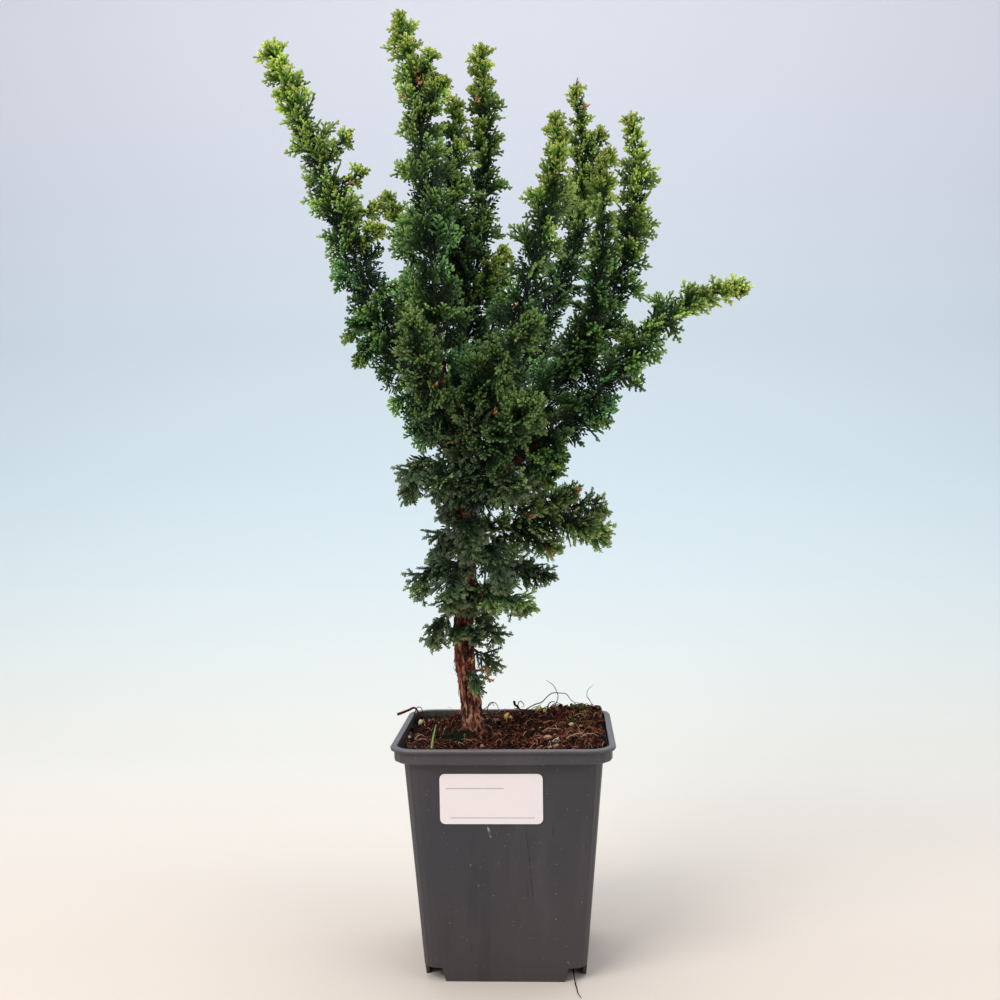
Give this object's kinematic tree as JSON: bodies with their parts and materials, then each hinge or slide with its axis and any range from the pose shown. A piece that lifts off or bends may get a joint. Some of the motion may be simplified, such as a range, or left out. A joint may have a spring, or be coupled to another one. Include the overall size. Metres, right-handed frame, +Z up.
{
  "type": "hinoki cypress bonsai in a square plastic pot",
  "caption": "Young hinoki cypress grown as a bonsai: a bare trunk below upright plumes of dense scale foliage, in a square plastic nursery pot filled with peat.",
  "frame": {"origin": "middle of the plant's box, at the level of the table, which is also the middle of the pot's footprint to within 2 mm", "axes": "+Z up, -Y towards the front, where the sticker is, +X towards the right seen from the front"},
  "size_m": [0.2525, 0.1633, 0.4861],
  "materials": {
    "pot_plastic": "matte",
    "peat": "matte",
    "paper": "matte",
    "bark": "matte",
    "foliage": "matte",
    "foliage_bluish": "matte"
  },
  "bodies": {
    "root": {"pot": "pot_plastic", "soil": "peat", "label": "paper", "trunk_and_limbs": "bark", "leader_left": "foliage", "leader_tall": "foliage", "leader_middle": "foliage", "leader_front": "foliage", "leader_back": "foliage", "leader_right": "foliage", "leader_outer": "foliage", "leader_rear_middle": "foliage", "leader_rear_left": "foliage", "leader_rear_right": "foliage", "cluster_front_upper": "foliage", "cluster_front_low": "foliage", "cluster_front_left": "foliage", "cluster_right": "foliage", "spray_left_high": "foliage_bluish", "spray_right_high": "foliage_bluish", "spray_front_left": "foliage_bluish", "spray_front_middle": "foliage_bluish", "spray_front_right": "foliage_bluish", "column_front_high": "foliage_bluish", "column_back_high": "foliage_bluish", "column_left": "foliage_bluish", "column_front_right": "foliage_bluish", "column_back_left": "foliage_bluish", "column_front_mid": "foliage_bluish", "spray_right_dark": "foliage_bluish", "spray_left_mid": "foliage_bluish", "spray_right_bright": "foliage_bluish", "column_back_low": "foliage_bluish", "spray_left_low": "foliage_bluish", "spray_right_low": "foliage_bluish", "spray_right_lowest": "foliage_bluish", "spray_trunk_front": "foliage_bluish"}
  },
  "joints": []
}
